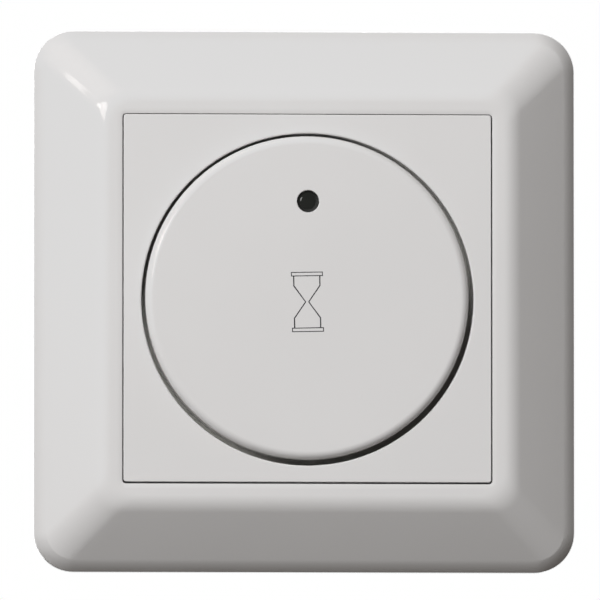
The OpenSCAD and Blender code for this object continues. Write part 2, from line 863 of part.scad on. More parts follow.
module terminal_module() {
  difference() {
    box([-terminal_w / 2, terminal_y, housing_back], [terminal_w / 2, module_high, module_front]);
    box([-cage_w / 2 - cage_play, terminal_y + module_floor, housing_back + module_rear_wall], [cage_w / 2 + cage_play, cage_high + cage_play, module_front - module_front_wall]);
    translate([0, wire_y, 0]) rod(wire_bore_d / 2, housing_back - 1, housing_back + module_rear_wall + 1);
    translate([0, terminal_y, clamp_z]) rotate([-90, 0, 0])
      translate([0, 0, -1]) cylinder(r = screw_head_r + 0.3, h = module_floor + 2);
    box([-bar_w / 2 - fit, bar_low - fit, module_front - 3], [bar_w / 2 + fit, bar_high + fit, module_front + 1]);
  }
}

module terminal_modules() {
  color([0.86, 0.86, 0.84])
    for (i = [-1 : 1])
      translate([i * terminal_pitch, 0, 0]) terminal_module();
}

module terminal_screw(i) {
  color(steel)
    translate([i * terminal_pitch, terminal_y + head_in, clamp_z]) rotate([-90, 0, 0])
      difference() {
        union() {
          rod(screw_head_r, 0, head_h);
          rod(screw_r, head_h - eps, bar_low - terminal_y - head_in);
        }
        box([-4, -0.4, -1], [4, 0.4, 0.8]);
        box([-0.3, -1.5, -1], [0.3, 1.5, 0.8]);
      }
}

module clamp_cage(i) {
  color(brass)
    translate([i * terminal_pitch, 0, 0])
      difference() {
        box([-cage_w / 2, cage_low, cage_rear], [cage_w / 2, cage_high, cage_front]);
        box([-cage_window_w / 2, cage_low + cage_wall, cage_rear - 1], [cage_window_w / 2, cage_high - cage_lid, cage_front + 1]);
        translate([0, cage_low - 1, clamp_z]) rotate([-90, 0, 0])
          cylinder(r = screw_r + running, h = cage_wall + 2);
      }
}

module terminal_screw_1() {
  terminal_screw(-1);
}

module terminal_screw_2() {
  terminal_screw(0);
}

module terminal_screw_3() {
  terminal_screw(1);
}

module clamp_cage_1() {
  clamp_cage(-1);
}

module clamp_cage_2() {
  clamp_cage(0);
}

module clamp_cage_3() {
  clamp_cage(1);
}

// Claw on the right: two legs on trunnions, joined by a toothed foot with a threaded hole
module claw() {
  color(steel)
    translate([claw_x, -claw_offset, 0])
      difference() {
        union() {
          for (s = [-1, 1])
            translate([0, s * (claw_in + claw_sheet / 2), 0]) {
              translate([0, 0, pivot_z]) rotate([90, 0, 0])
                cylinder(r = claw_eye_r, h = claw_sheet, center = true);
              box([-claw_eye_r, -claw_sheet / 2, -claw_len], [claw_eye_r, claw_sheet / 2, pivot_z]);
              translate([0, s * (ear_t / 2 + claw_sheet / 2), pivot_z]) rotate([90, 0, 0])
                cylinder(r = claw_pin_r, h = ear_t + 0.6, center = true);
            }
          box([-2, -claw_out, -claw_len], [claw_foot_x, claw_out, -claw_len + claw_foot_t]);
          for (t = [-1 : 1])
            translate([claw_foot_x, t * claw_out * 2 / 3, -claw_len]) linear_extrude(claw_foot_t)
              polygon([[-0.5, -claw_out / 3], [0, -claw_out / 3], [tooth, 0], [0, claw_out / 3], [-0.5, claw_out / 3]]);
        }
        rod(claw_r + running, -claw_len - 1, -claw_len + claw_foot_t + 1);
      }
}

module claw_screw() {
  color(steel)
    translate([claw_x, -claw_offset, 0])
      difference() {
        union() {
          rod(claw_r, claw_screw_end, yoke_t + claw_head_gap + claw_head_h / 2);
          rod(claw_head_r, yoke_t + claw_head_gap, yoke_t + claw_head_gap + claw_head_h);
        }
        box([-4, -0.4, yoke_t + claw_head_gap + 0.35], [4, 0.4, yoke_t + 3]);
      }
}

module claw_right() {
  claw();
}

module claw_left() {
  rotate(180) claw();
}

module claw_screw_right() {
  claw_screw();
}

module claw_screw_left() {
  rotate(180) claw_screw();
}

on_wall() cover_frame();
on_wall() centre_plate();
on_wall() push_button();
on_wall() indicator_lens();
on_wall() button_carrier();
on_wall() return_springs();
on_wall() mounting_yoke();
on_wall() yoke_screws();
on_wall() rear_housing();
on_wall() housing_lid();
on_wall() control_board();
on_wall() switch_body();
on_wall() switch_plunger();
on_wall() indicator_led();
on_wall() trimmer_body();
on_wall() trimmer_rotor();
on_wall() controller_chip();
on_wall() relay();
on_wall() dropper_capacitor();
on_wall() smoothing_capacitor();
on_wall() varistor();
on_wall() fuse();
on_wall() resistors();
on_wall() rectifier_diodes();
on_wall() contact_bars();
on_wall() terminal_modules();
on_wall() terminal_screw_1();
on_wall() terminal_screw_2();
on_wall() terminal_screw_3();
on_wall() clamp_cage_1();
on_wall() clamp_cage_2();
on_wall() clamp_cage_3();
on_wall() claw_left();
on_wall() claw_right();
on_wall() claw_screw_left();
on_wall() claw_screw_right();
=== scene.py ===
"""Looks of a timer light switch.

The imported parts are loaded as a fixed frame. The moulded covers, the lens, the return springs, the claw
screws and the printed symbol are built here with their full rounding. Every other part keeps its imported
shape and gets its finish. Sizes are in millimetres: across, up, and out of the wall.
"""

import json
import logging
import math
from collections.abc import Sequence
from dataclasses import dataclass, replace
from enum import Enum, IntEnum
from functools import partial

import bmesh
import bpy
from bpy.types import Material, Mesh, Node, NodeSocket, NodeTree, Object
from mathutils import Matrix, Vector

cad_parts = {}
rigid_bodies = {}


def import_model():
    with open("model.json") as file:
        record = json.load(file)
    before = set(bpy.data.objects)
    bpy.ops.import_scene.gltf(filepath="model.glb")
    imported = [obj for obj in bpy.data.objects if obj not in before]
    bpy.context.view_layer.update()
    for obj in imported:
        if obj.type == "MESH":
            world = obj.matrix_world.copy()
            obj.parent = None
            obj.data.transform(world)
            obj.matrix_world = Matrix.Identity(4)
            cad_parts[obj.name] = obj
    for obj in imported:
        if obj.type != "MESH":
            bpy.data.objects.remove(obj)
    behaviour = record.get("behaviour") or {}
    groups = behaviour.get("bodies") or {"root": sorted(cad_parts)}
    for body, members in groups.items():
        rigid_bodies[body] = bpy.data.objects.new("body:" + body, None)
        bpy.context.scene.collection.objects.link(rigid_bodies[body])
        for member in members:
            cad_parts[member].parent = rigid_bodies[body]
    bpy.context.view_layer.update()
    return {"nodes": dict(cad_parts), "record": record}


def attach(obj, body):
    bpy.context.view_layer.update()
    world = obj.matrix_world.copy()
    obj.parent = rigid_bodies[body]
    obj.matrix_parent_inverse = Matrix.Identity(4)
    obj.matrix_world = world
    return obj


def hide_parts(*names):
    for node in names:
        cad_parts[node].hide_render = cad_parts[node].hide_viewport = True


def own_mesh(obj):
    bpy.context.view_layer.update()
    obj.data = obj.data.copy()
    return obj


LOG = logging.getLogger("timer_switch")
MM = 0.001
MERGE_M = 1e-7  # points closer than this are one
QUARTER = math.pi / 2
CROSS = (0, 90, 180, 270)  # the ways sideways, up and down, in degrees
DIAGONALS = (45, 135, 225, 315)  # the ways between them
CREASE = math.radians(35)  # sharper bends stay crisp
CORNER_STEPS = 16  # of a square's corner
SIDE_STEPS = 32  # of a square's side
TURN_STEPS = 64  # of a full turn
PEG_STEPS = 32  # of a thin peg's turn
SUPPORT = 0.06  # how close beside a rounding a ring holds the flat
LONG_RUN = 8 * SUPPORT  # a longer flat run gets such rings
SUNK = 0.3  # how deep legs and pegs are rooted
BITE = 0.4  # how far ribs and nubs reach into the wall beside them
BARB_TIP = 0.1  # how far a barb's tip stands out
PLATE_FRONT = 9.75
BUTTON_FRONT = 11.35
LENS_UP = 14.5
SPRING_PLACE = 20.0
DRIFT_DETAIL = 2.0
DRIFT_SPREAD = {"From Min": 0.3, "From Max": 0.7}  # what the noise mostly fills of its range
MARK_SPREAD = {"From Min": 0.25, "From Max": 0.75}
EDGE_SAMPLES = 4
ALL_CHANNELS = 3  # the tone curve that all three colours share
WHITE = (1.0, 1.0, 1.0, 1.0)
RIGHT_HANDED = True  # a helix takes it as its Reverse
Point = tuple[float, float]


def spot(across: float, up: float, out: float) -> Vector:
    """A place on the switch, from millimetres to metres in the row frame."""
    return Vector((across, -out, up)) * MM


def stood(across: float, up: float, out: float) -> dict[str, object]:
    """What a Transform node takes to stand a flat geometry up at a place on the switch."""
    return {"Rotation": (QUARTER, 0, 0), "Translation": spot(across, up, out)}


def linear(code: str) -> tuple[float, float, float, float]:
    """Turns an sRGB colour into the linear one that shaders take.

    Args:
        code: The colour as #RRGGBB.

    Returns:
        Linear red, green, blue, and an alpha of 1.
    """
    shares = [int(code[i : i + 2], 16) / 255 for i in (1, 3, 5)]
    red, green, blue = (s / 12.92 if s <= 0.04045 else ((s + 0.055) / 1.055) ** 2.4 for s in shares)
    return red, green, blue, 1.0


def add_node(
    tree: NodeTree, kind: str, inputs: dict[str | int, object] | None = None, **settings: object
) -> Node:
    """Adds one node with its settings, values and links.

    Args:
        tree: The tree that gets the node.
        kind: The node's type name.
        inputs: For each input by name or number, a value, a socket to link from, or a node whose first
            used output is linked.
        **settings: The node's own properties.

    Returns:
        The new node.
    """
    node = tree.nodes.new(kind)
    for name, value in settings.items():
        setattr(node, name, value)
    for key, value in (inputs or {}).items():
        if isinstance(value, Node):
            value = next(socket for socket in value.outputs if socket.enabled)
        if isinstance(value, NodeSocket):
            tree.links.new(value, node.inputs[key])
        else:
            node.inputs[key].default_value = value
    return node


class Skin(Enum):
    """What makes a surface's fine relief."""

    GRAIN = "ShaderNodeTexNoise"
    WEAVE = "ShaderNodeTexChecker"


class Lay(Enum):
    """How the fine marks lie, as their density along x, y and z."""

    EVEN = (1, 1, 1)
    ROLLED = (1, 6, 6)
    DRAWN = (3, 1, 3)


@dataclass(frozen=True)
class Finish:
    """One surface: two close tones that drift over it, and a fine skin that sets relief and gloss."""

    name: str
    tint: str
    shade: str
    roughness: Point = (0.4, 0.5)
    skin_mm: float = 0.35
    depth_mm: float = 0.004
    skin: Skin = Skin.GRAIN
    lay: Lay = Lay.EVEN
    drift_mm: float = 20.0
    edge_mm: float = 0.1
    metallic: float = 0.0
    transmission: float = 0.0
    ior: float = 1.5

    def material(self) -> Material:
        """Mixes the surface; its edges look broken by a small radius.

        Returns:
            The material, named for what it is.
        """
        material = bpy.data.materials.new(self.name)
        material.use_nodes = True
        material.node_tree.nodes.clear()
        add = partial(add_node, material.node_tree)
        place = add("ShaderNodeTexCoord").outputs["Object"]
        coarse, fine = 1 / (self.drift_mm * MM), 1 / (self.skin_mm * MM)
        drift = add("ShaderNodeTexNoise", {"Vector": place, "Scale": coarse, "Detail": DRIFT_DETAIL})
        share = add("ShaderNodeMapRange", {"Value": drift, **DRIFT_SPREAD})
        tones = {6: linear(self.tint), 7: linear(self.shade)}
        colour = add("ShaderNodeMix", {0: share, **tones}, data_type="RGBA")
        laid = add("ShaderNodeMapping", {"Vector": place, "Scale": self.lay.value})
        marks = add(self.skin.value, {"Vector": laid, "Scale": fine}).outputs["Fac"]
        low, high = self.roughness
        gloss = add("ShaderNodeMapRange", {"Value": marks, **MARK_SPREAD, "To Min": low, "To Max": high})
        edge = add("ShaderNodeBevel", {"Radius": self.edge_mm * MM}, samples=EDGE_SAMPLES)
        relief = add("ShaderNodeBump", {"Height": marks, "Distance": self.depth_mm * MM, "Normal": edge})
        surface = add(
            "ShaderNodeBsdfPrincipled",
            {
                "Base Color": colour,
                "Roughness": gloss,
                "Normal": relief,
                "Metallic": self.metallic,
                "Transmission Weight": self.transmission,
                "IOR": self.ior,
            },
        )
        add("ShaderNodeOutputMaterial", {"Surface": surface})
        return material


@dataclass(frozen=True)
class Metal(Finish):
    """A metal: its colour is its reflection, cloudy from the bath and streaked by the rolls."""

    roughness: Point = (0.28, 0.42)
    skin_mm: float = 0.9
    lay: Lay = Lay.ROLLED
    drift_mm: float = 7.0
    metallic: float = 1.0


@dataclass(frozen=True)
class Clear(Finish):
    """Tinted clear plastic, polished by its mould: deep colour under a sharp reflection."""

    roughness: Point = (0.08, 0.12)
    skin_mm: float = 1.2
    depth_mm: float = 0.001
    drift_mm: float = 2.0
    edge_mm: float = 0.02
    ior: float = 1.49


# The record's material slots and the sign's ink, and what each is made of.
FINISHES = {
    # Moulded in a polished tool: off-white and glossy, with a trace of waviness in its reflections.
    "cover_plastic": Finish(
        "cover_abs_polished", "#E6E5E5", "#E4E3E3", (0.035, 0.05), 5.0, 0.001, edge_mm=0.02
    ),
    # Nearly black, with the lights mirrored in its dome.
    "lens_smoked": Clear("lens_polycarbonate_smoked", "#131512", "#191B17", (0.05, 0.07), ior=1.59),
    # Unpolished tool: chalky and a little translucent looking.
    "carrier_plastic": Finish("carrier_pom_natural", "#DDDCD6", "#D6D5CE"),
    # Drawn wire: bright, with fine lines along it.
    "spring_steel": Metal(
        "spring_steel_drawn", "#C4C3C0", "#B5B4B1", (0.22, 0.34), 0.6, lay=Lay.DRAWN, edge_mm=0.03
    ),
    # Rolled sheet and turned screws from a zinc bath: pale blue-grey with soft clouds.
    "zinc_steel": Metal("steel_zinc_plated", "#CFD1D2", "#BBC0C4"),
    # Spark-eroded tool: an even matt grain. It is drawn at twice its real size so that it shows.
    "housing_plastic": Finish("housing_pbt_eroded", "#D6D5CF", "#D0CFC8", (0.42, 0.52), 0.3, 0.012),
    # Glass cloth under solder resist: its weave shows as a faint grid.
    "board": Finish("board_glass_epoxy", "#1E5C35", "#236A3D", (0.3, 0.4), 0.5, 0.004, Skin.WEAVE),
    # Filled epoxy: dull black with a fine grain.
    "black_plastic": Finish("black_epoxy_moulded", "#1B1B1D", "#222224", (0.45, 0.55), 0.25, 0.006),
    # Warm white, smooth from turning.
    "white_plastic": Finish("white_pom_turned", "#E8E6DF", "#E2E0D8", (0.36, 0.44), depth_mm=0.002),
    # Cast resin: clear red with a wet shine.
    "lamp": Clear("lamp_resin_red", "#C8402C", "#B93726", (0.05, 0.09), transmission=0.7),
    # Glass-filled case of the bought-in parts: dense blue with flow marks.
    "blue_plastic": Finish("blue_pbt_moulded", "#2C5A93", "#284F80", (0.36, 0.46), drift_mm=4.0),
    # Film capacitor's box: ochre with a light shine.
    "yellow_plastic": Finish("ochre_pp_box", "#D3A53F", "#C99A36", (0.34, 0.42), drift_mm=5.0),
    # Shrunk sleeve: dark, drawn tight, with a satin shine.
    "sleeve_plastic": Finish("sleeve_pvc_shrunk", "#191A24", "#20212C", (0.22, 0.3), 1.2, 0.006),
    # Fired ceramic: warm white and dry.
    "fuse_ceramic": Finish("fuse_ceramic_fired", "#DCD8C9", "#D3CEBD", (0.5, 0.6), 0.2, 0.006),
    # Dipped lacquer: tan, uneven and slightly glossy.
    "resistor_coat": Finish(
        "resistor_lacquer_dipped", "#B08B66", "#A27C58", (0.28, 0.38), 0.8, 0.008, drift_mm=2.0
    ),
    # Stamped strip: yellow metal with rolling lines.
    "brass": Metal("brass_stamped", "#D6B36A", "#C8A35A", (0.2, 0.32)),
    # Pale grey polyamide: matt, a shade cooler than the housing.
    "terminal_plastic": Finish("terminal_pa_moulded", "#DEDEDB", "#D7D7D3", (0.4, 0.48), 0.3, 0.008),
    # Pad-printed ink: a matt slate line that is a little thin in places.
    "symbol_ink": Finish(
        "symbol_pad_print", "#2B2A2F", "#36353A", (0.45, 0.6), depth_mm=0.001, drift_mm=0.6, edge_mm=0.0
    ),
}

# Painted board: pale and matt, with faint roller marks.
FLOOR = Finish("floor_paint_matt", "#F2F1EF", "#EFEEEC", (0.7, 0.8), 4.0, 0.01, drift_mm=300.0)


class Outline(Enum):
    """The two outlines that the moulded covers are made of."""

    SQUARE = "square"
    ROUND = "round"


@dataclass(frozen=True)
class Ring:
    """One closed outline of a moulding at one level out of the wall."""

    outline: Outline
    half: float
    out: float
    corner: float = 0.0
    across: float = 0.0
    up: float = 0.0

    def points(self) -> list[Vector]:
        """Goes round the outline, with as many points on a square as on a circle.

        Returns:
            The points in the row frame.
        """
        per_quarter = CORNER_STEPS + SIDE_STEPS
        inner = self.half - self.corner
        made = []
        for i in range(4 * per_quarter):
            quarter, step = divmod(i, per_quarter)
            if self.outline is Outline.ROUND:
                turn = QUARTER * (0.5 + (step - CORNER_STEPS / 2) / per_quarter)
                across, up = self.half * math.cos(turn), self.half * math.sin(turn)
            elif step <= CORNER_STEPS:
                turn = QUARTER * step / CORNER_STEPS
                across, up = inner + self.corner * math.cos(turn), inner + self.corner * math.sin(turn)
            else:
                across, up = inner * (1 - 2 * (step - CORNER_STEPS) / SIDE_STEPS), self.half
            for _ in range(quarter):
                across, up = -up, across
            made.append(spot(across + self.across, up + self.up, self.out))
        return made

    def towards(self, other: "Ring", share: float) -> "Ring":
        """Finds a ring between this one and another.

        Args:
            other: The ring at the far end.
            share: How much of the way the new ring lies.

        Returns:
            The new ring.
        """
        return replace(
            self,
            half=self.half + share * (other.half - self.half),
            out=self.out + share * (other.out - self.out),
            corner=self.corner + share * (other.corner - self.corner),
        )


class Steps(IntEnum):
    """How many steps a rounding has, by how much of it shows."""

    TINY = 4
    SMALL = 6
    PLAIN = 8
    EASED = 14
    BROAD = 20


def arc(centre: Point, radius: float, start: float, end: float, steps: int = Steps.EASED) -> list[Point]:
    """Finds points on a rounding of a section.

    Args:
        centre: The rounding's centre, as half width and level.
        radius: Its radius.
        start: The angle of its first point, in radians from straight outward.
        end: The angle of its last point.
        steps: How many steps it has.

    Returns:
        Half width and level of each point.
    """
    turns = [start + (end - start) * k / steps for k in range(steps + 1)]
    return [(centre[0] + radius * math.cos(t), centre[1] + radius * math.sin(t)) for t in turns]


def bend(start: Point, corner: Point, end: Point, steps: int = Steps.EASED) -> list[Point]:
    """Finds points on an eased rounding of a section, which leaves both straight runs gently.

    Args:
        start: Where the rounding starts, as half width and level.
        corner: Where the two straight runs would meet.
        end: Where it ends.
        steps: How many steps it has.

    Returns:
        Half width and level of each point.
    """
    made = []
    for share in (k / steps for k in range(steps + 1)):
        weights = (1 - share) ** 2, 2 * share * (1 - share), share**2
        made.append(tuple(sum(w * p[i] for w, p in zip(weights, (start, corner, end))) for i in (0, 1)))
    return made


def block(near: float, far: float, low: float, top: float) -> list[Point]:
    """The corners of a plain section, from its near top round to its near foot."""
    return [(near, top), (far, top), (far, low), (near, low)]


def supported(rings: list[Ring]) -> list[Ring]:
    """Adds a ring just inside both ends of each flat run, so that flats stay flat beside a rounding.

    Args:
        rings: The closed section's rings in order.

    Returns:
        The rings with the added ones between them.
    """
    made = []
    for ring, following in zip(rings, rings[1:] + rings[:1]):
        made.append(ring)
        run = math.hypot(following.half - ring.half, following.out - ring.out)
        same = (ring.outline, ring.up) == (following.outline, following.up)
        if same and run > LONG_RUN:
            made += [ring.towards(following, share) for share in (SUPPORT / run, 1 - SUPPORT / run)]
    return made


def shown(name: str, mesh: Mesh) -> Object:
    """Puts a mesh in the scene.

    Args:
        name: The object's name.
        mesh: Its mesh.

    Returns:
        The new object, at the origin.
    """
    piece = bpy.data.objects.new(name, mesh)
    bpy.context.scene.collection.objects.link(piece)
    return piece


class Mould:
    """A mesh in the making, to which closed shapes are added."""

    def __init__(self, rings: Sequence[Ring] = ()) -> None:
        """Joins rings into one closed skin; the last ring joins the first.

        Args:
            rings: The rings in order, or none.
        """
        self.body = bmesh.new()
        rows = [[self.body.verts.new(point) for point in ring.points()] for ring in rings]
        for row, following in zip(rows, rows[1:] + rows[:1]):
            for i in range(len(row)):
                j = (i + 1) % len(row)
                self.body.faces.new((row[i], row[j], following[j], following[i]))

    def spin(
        self, profile: Sequence[Point], across: float = 0, up: float = 0, steps: int = TURN_STEPS
    ) -> None:
        """Turns a profile about an axis out of the wall.

        Args:
            profile: Radius and level of each point, from pole to pole.
            across: The axis's place across.
            up: The axis's place up.
            steps: How many steps the turn has.
        """
        rows = []
        for radius, out in profile:
            turns = [2 * math.pi * k / steps for k in range(steps if radius else 1)]
            places = [spot(across + radius * math.cos(t), up + radius * math.sin(t), out) for t in turns]
            rows.append([self.body.verts.new(place) for place in places])
        for row, following in zip(rows, rows[1:]):
            for i in range(steps):
                corners = [row[i % len(row)], row[(i + 1) % len(row)]]
                corners += [following[(i + 1) % len(following)], following[i % len(following)]]
                self.body.faces.new(list(dict.fromkeys(corners)))

    def prism(self, section: Sequence[Point], width: float, turn: float = 0) -> None:
        """Adds a straight bar that lies along a radius.

        Args:
            section: Radius and level of each corner.
            width: The bar's width across the radius.
            turn: The radius's direction in degrees.
        """
        along, beside = math.cos(math.radians(turn)), math.sin(math.radians(turn))
        sides = []
        for far in (-width / 2, width / 2):
            places = [(r * along - far * beside, r * beside + far * along, out) for r, out in section]
            sides.append([self.body.verts.new(spot(*place)) for place in places])
        self.body.faces.new(sides[0])
        self.body.faces.new(sides[1])
        for i in range(len(section)):
            j = (i + 1) % len(section)
            self.body.faces.new((sides[0][i], sides[0][j], sides[1][j], sides[1][i]))

    def mesh(self, name: str) -> Mesh:
        """Takes the mesh out, with its faces outward.

        Args:
            name: The mesh's name.

        Returns:
            The mesh.
        """
        bmesh.ops.recalc_face_normals(self.body, faces=self.body.faces)
        mesh = bpy.data.meshes.new(name)
        self.body.to_mesh(mesh)
        self.body.free()
        return mesh

    def piece(self, name: str) -> Object:
        """Takes the mesh out and puts it in the scene under the same name."""
        return shown(name, self.mesh(name))


class Recipe:
    """A Geometry Nodes tree with named sizes, whose result is kept as a plain mesh."""

    def __init__(self, name: str) -> None:
        """Starts a tree that takes and gives one geometry.

        Args:
            name: The tree's name, and later the piece's.
        """
        self.name = name
        self.tree = bpy.data.node_groups.new(name, "GeometryNodeTree")
        self.sizes: dict[str, float | int] = {}
        for direction in ("INPUT", "OUTPUT"):
            self.tree.interface.new_socket("Geometry", in_out=direction, socket_type="NodeSocketGeometry")
        self.entry = self.tree.nodes.new("NodeGroupInput")
        self.add = partial(add_node, self.tree)

    def size(self, name: str, value: float | int) -> NodeSocket:
        """Adds a named input.

        Args:
            name: What the input sizes.
            value: Its value, a whole number where it counts something.

        Returns:
            The socket to link from.
        """
        kind = "NodeSocketInt" if isinstance(value, int) else "NodeSocketFloat"
        item = self.tree.interface.new_socket(name, in_out="INPUT", socket_type=kind)
        self.sizes[item.identifier] = value
        return self.entry.outputs[name]

    def around(self, copied: Node, count: NodeSocket, place: NodeSocket | float, out: float) -> Node:
        """Sets copies round the switch's axis, each turned to its own side.

        Args:
            copied: What is copied.
            count: How many copies there are.
            place: How far from the axis each copy is moved, in metres.
            out: How far out of the wall it is moved.

        Returns:
            The node that gives the copies.
        """
        ring = self.add("GeometryNodeMeshCircle", {"Vertices": count, "Radius": place})
        seats = self.add("GeometryNodeTransform", {"Geometry": ring, **stood(0, 0, out)})
        index = self.add("GeometryNodeInputIndex")
        step = self.add("ShaderNodeMath", {0: -2 * math.pi, 1: count}, operation="DIVIDE")
        turn = self.add("ShaderNodeMath", {0: index, 1: step}, operation="MULTIPLY")
        angles = self.add("ShaderNodeCombineXYZ", {"Y": turn})
        facing = self.add("FunctionNodeEulerToRotation", {0: angles})
        links = {"Points": seats, "Instance": copied, "Rotation": facing}
        return self.add("GeometryNodeInstanceOnPoints", links)

    def serve(self, geometry: Node, finish: Material, start: Mesh | None = None) -> Object:
        """Ends the tree, runs it once and keeps its result.

        Args:
            geometry: The node that gives the tree's last geometry.
            finish: The material that it gets.
            start: The mesh that the tree works on, if it needs one.

        Returns:
            An object with a plain mesh and no modifier.
        """
        whole = self.add("GeometryNodeRealizeInstances", {"Geometry": geometry})
        dressed = self.add("GeometryNodeSetMaterial", {"Geometry": whole, "Material": finish})
        self.add("NodeGroupOutput", {"Geometry": dressed})
        piece = shown(self.name, start or bpy.data.meshes.new(self.name))
        modifier = piece.modifiers.new(self.name, "NODES")
        modifier.node_group = self.tree
        for identifier, value in self.sizes.items():
            modifier[identifier] = value
        graph = bpy.context.evaluated_depsgraph_get()
        mesh = bpy.data.meshes.new_from_object(piece.evaluated_get(graph))
        piece.modifiers.clear()
        piece.data = mesh
        return piece


@dataclass(frozen=True)
class Assembly:
    """A sub-assembly: all finishes, its body and slot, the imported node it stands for, and its own coat."""

    finishes: dict[str, Material]
    body: str = "base"
    slot: str = "cover_plastic"
    node: str = ""
    coat: str = ""

    @property
    def finish(self) -> Material:
        """The material of its coat or, without one, of its slot."""
        return self.finishes[self.coat or self.slot]

    def build(self) -> list[Object]:
        """Builds the pieces; each sub-assembly has its own way."""
        raise NotImplementedError

    def dress(self, pieces: list[Object]) -> None:
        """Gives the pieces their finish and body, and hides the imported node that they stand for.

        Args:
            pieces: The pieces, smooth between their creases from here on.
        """
        for piece in pieces:
            if not piece.data.materials:
                piece.data.materials.append(self.finish)
            piece.data.shade_smooth()
            piece.data.set_sharp_from_angle(angle=CREASE)
            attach(piece, self.body)
        if self.node:
            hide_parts(self.node)


@dataclass(frozen=True)
class CoverFrame(Assembly):
    """The square frame: upright edge, sloping bevel, rolled rim, and ledge for the plate."""

    node: str = "cover_frame"
    half: float = 40.5
    height: float = 10.0
    corner: float = 5.95
    slope_corner: float = 4.15
    crest_corner: float = 3.75
    bevel_deg: float = 39.0
    bow_deg: float = 1.5
    crest_start: float = 29.42
    crest_lead: float = 1.25
    crest_run: float = 1.63
    edge_reach: float = 1.75
    edge_deg: float = 55.0
    edge_round: float = 0.3
    wall: float = 2.0
    edge_wall: float = 1.0
    edge_r: float = 3.6
    crest_r: float = 4.9
    rim: float = 1.86
    lip_reach: float = 0.85
    lip_fall: float = 0.1
    lip_r: float = 0.06
    opening: float = 27.68
    opening_corner: float = 0.58
    ledge: float = 26.62
    ledge_top: float = 5.35
    ledge_t: float = 1.4
    rib_in: float = 35.75
    rib_low: float = 0.3
    rib_t: float = 1.4
    rib_place: float = 18.0
    sides: int = 4

    @property
    def edge(self) -> Point:
        """Centre of the hollow's rounding from the upright edge to the bevel."""
        return self.half - self.edge_r, self.edge_wall

    @property
    def crest(self) -> Point:
        """Centre of the hollow's rounding from the bevel to the rim."""
        return self.opening + self.rim, self.height - self.crest_r

    @property
    def slope(self) -> float:
        """Direction of the hollow's bevel, in radians from straight outward."""
        across, rise = self.edge[0] - self.crest[0], self.edge[1] - self.crest[1]
        return math.atan2(rise, across) + math.acos((self.crest_r - self.edge_r) / math.hypot(across, rise))

    def corner_at(self, half: float) -> float:
        """Finds the corner radius of a ring: small at the opening, large on the bevel.

        Args:
            half: The ring's half width.

        Returns:
            Its corner radius.
        """
        reach = self.lip_reach
        stops = [(self.opening, self.opening_corner), (self.opening + reach, self.opening_corner + reach)]
        stops += [(self.crest_start, self.crest_corner), (self.half - self.edge_reach, self.slope_corner)]
        stops.append((self.half, self.corner))
        radius = self.opening_corner
        for (low, start), (high, end) in zip(stops, stops[1:]):
            if half > low:
                radius = start + (end - start) * min(1.0, (half - low) / (high - low))
        return radius

    def skin(self) -> list[Point]:
        """Draws the outside from the upright edge over the bevel to the rim.

        Returns:
            Half width and level of each point.
        """
        upper, lower = (math.radians(self.bevel_deg + k * self.bow_deg / 2) for k in (-1, 1))
        lean = math.radians(self.edge_deg)
        crest = (self.crest_start + self.crest_lead, self.height)
        head = (crest[0] + self.crest_run * math.cos(upper), crest[1] - self.crest_run * math.sin(upper))
        start, last = self.half - self.edge_reach, self.half - self.edge_round * (1 - math.sin(lean))
        halfway, near = (head[0] + start) / 2, (start + last) / 2
        waist = (halfway, head[1] - (halfway - head[0]) * math.tan(upper))
        foot = (start, waist[1] - (start - halfway) * math.tan(lower))
        knee = (near, foot[1] - (near - start) * math.tan(lower))
        brink = (last, knee[1] - (last - near) * math.tan(lean))
        turned = (self.half - self.edge_round, brink[1] - self.edge_round * math.cos(lean))
        edge = arc(turned, self.edge_round, 0, QUARTER - lean, Steps.SMALL) + bend(brink, knee, foot)[1:]
        return edge + bend(foot, waist, head)[1:] + bend(head, crest, (self.crest_start, self.height))[1:]

    def rings(self) -> list[Ring]:
        """Draws the section from the wall over the rim and back along the hollow.

        Returns:
            The section's rings.
        """
        brink = (self.opening + self.lip_r, self.height - self.lip_fall)
        lip = (brink[0], brink[1] - self.lip_r)
        roll = [(self.opening + self.lip_reach / part, self.height) for part in (1, 2)]
        under = self.ledge_top - self.ledge_t
        section = [(self.half, 0.0)] + self.skin()
        section += bend(*roll, brink, Steps.PLAIN) + arc(lip, self.lip_r, QUARTER, math.pi, Steps.TINY)[1:]
        section += [(self.opening, self.ledge_top), (self.ledge, self.ledge_top), (self.ledge, under)]
        section += [(self.crest[0], under)]
        section += arc(self.crest, self.crest_r - self.wall, QUARTER, self.slope)
        section += arc(self.edge, self.edge_r - self.wall, self.slope, 0)
        section += [(self.half - self.wall, 0.0)]
        return supported([Ring(Outline.SQUARE, h, out, self.corner_at(h)) for h, out in section])

    def rib_section(self) -> list[Point]:
        """Draws one locating rib, which ends inside the skin and just outside the yoke.

        Returns:
            Radius and level of its corners.
        """
        skin = self.wall / 2
        start = [c + (self.crest_r - skin) * f(self.slope) for c, f in zip(self.crest, (math.cos, math.sin))]
        top = start[1] - (self.rib_in - start[0]) / math.tan(self.slope)
        foot = [(self.rib_in, self.rib_low), (self.half - skin, self.rib_low)]
        return foot + arc(self.edge, self.edge_r - skin, 0, self.slope) + [(self.rib_in, top)]

    def build(self) -> list[Object]:
        """Builds the frame's moulding and its ribs."""
        return [Mould(self.rings()).piece("frame_moulding"), self._ribs()]

